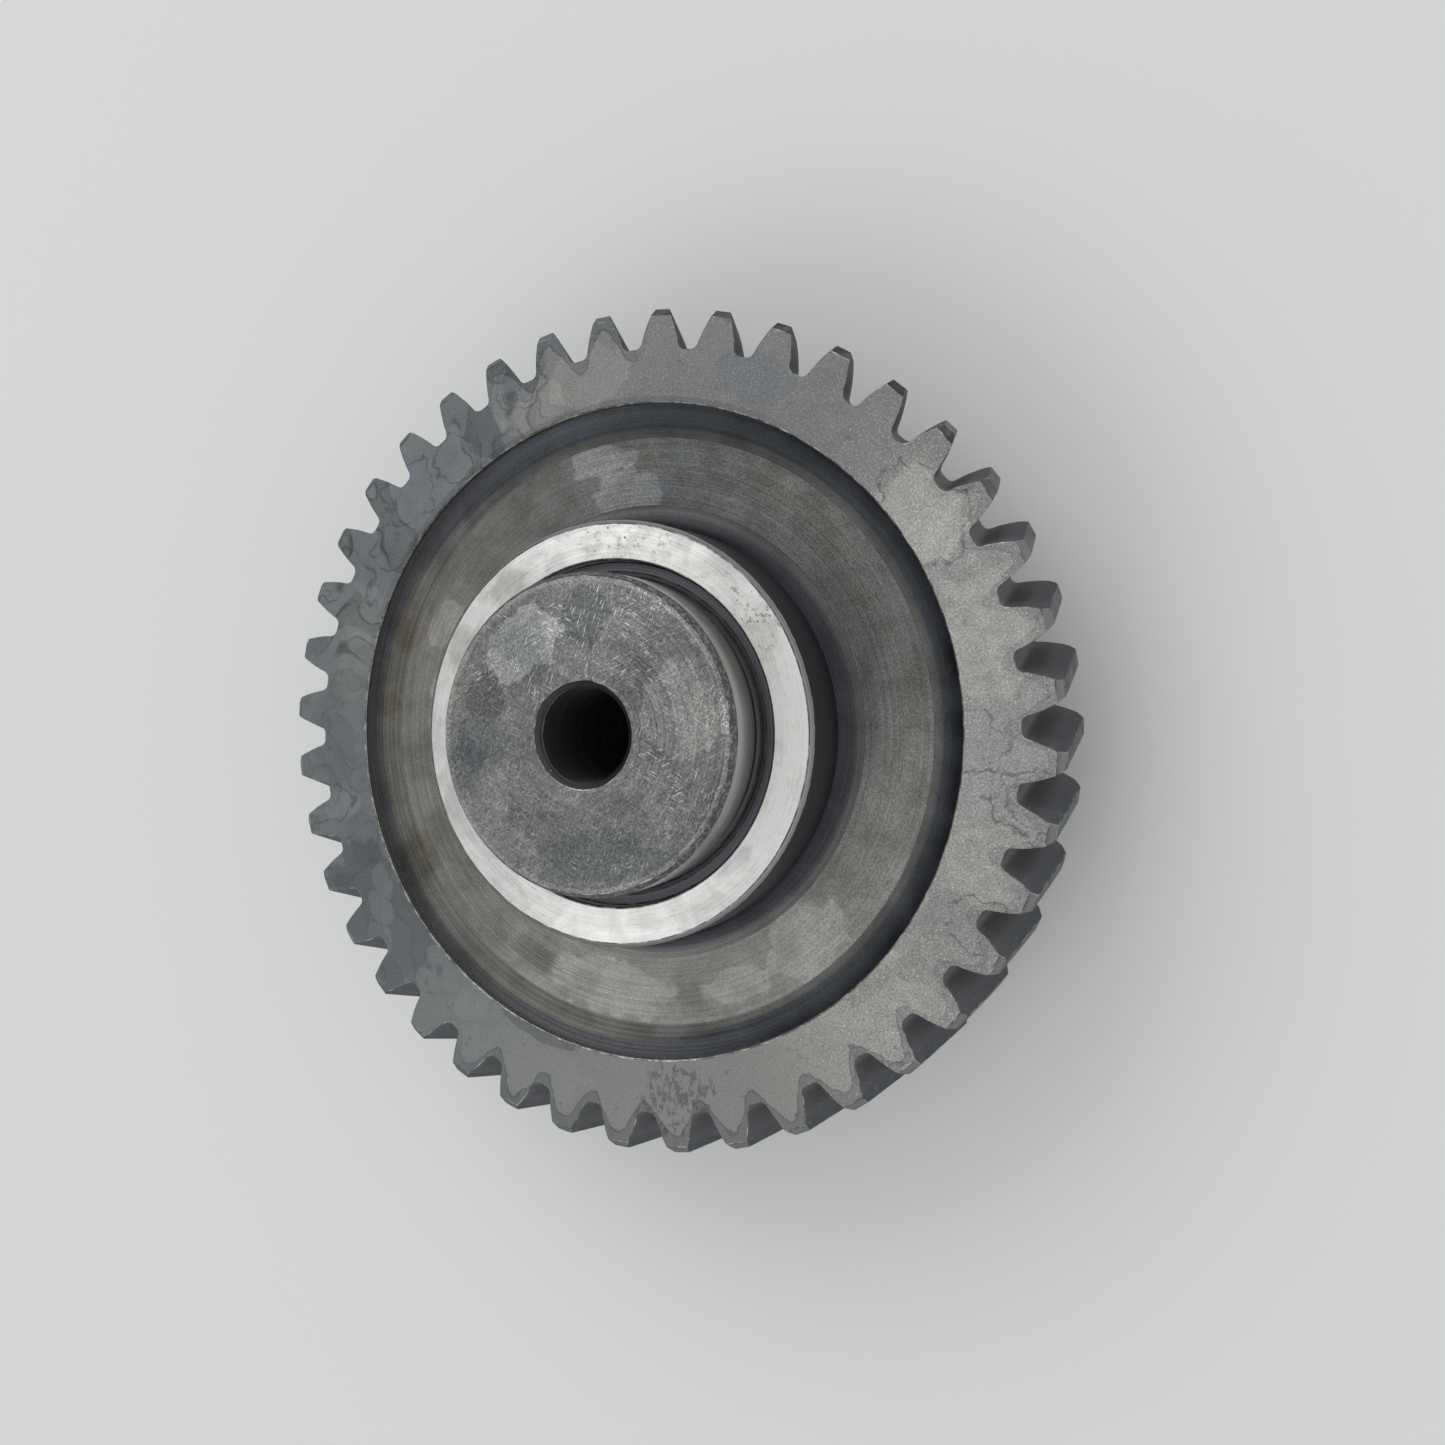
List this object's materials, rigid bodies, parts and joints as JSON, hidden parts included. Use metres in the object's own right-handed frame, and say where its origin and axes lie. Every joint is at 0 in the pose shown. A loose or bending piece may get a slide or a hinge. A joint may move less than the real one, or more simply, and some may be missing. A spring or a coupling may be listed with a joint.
{
  "type": "helical idler gear on spindle",
  "caption": "Helical idler gear with a dished web and ground thrust hub, turning on plain bushings on a collared stub spindle with a bolt hole.",
  "frame": {"origin": "on the gear axis, at the middle of the toothed rim, which is the middle of the whole part", "axes": "+Z along the gear axis towards the spindle's pilot end; +X and +Y across the gear"},
  "size_m": [0.159, 0.159, 0.067],
  "materials": {
    "wheel_steel": "turned and hobbed steel, dark and stained, with bright ground thrust faces",
    "bushing_steel": "dark oily steel-backed bushing",
    "spindle_steel": "satin ground journal, turned end face with scratches",
    "washer_bronze": "dull bronze"
  },
  "bodies": {
    "fixed_spindle": {"spindle": "spindle_steel", "thrust_washer": "washer_bronze"},
    "gear": {"gear_wheel": "wheel_steel", "front_bushing": "bushing_steel", "rear_bushing": "bushing_steel"}
  },
  "joints": [
    {"name": "gear_spin", "type": "hinge", "parent": "fixed_spindle", "child": "gear", "pos_m": [0, 0, 0], "axis": [0, 0, 1], "continuous": true}
  ]
}
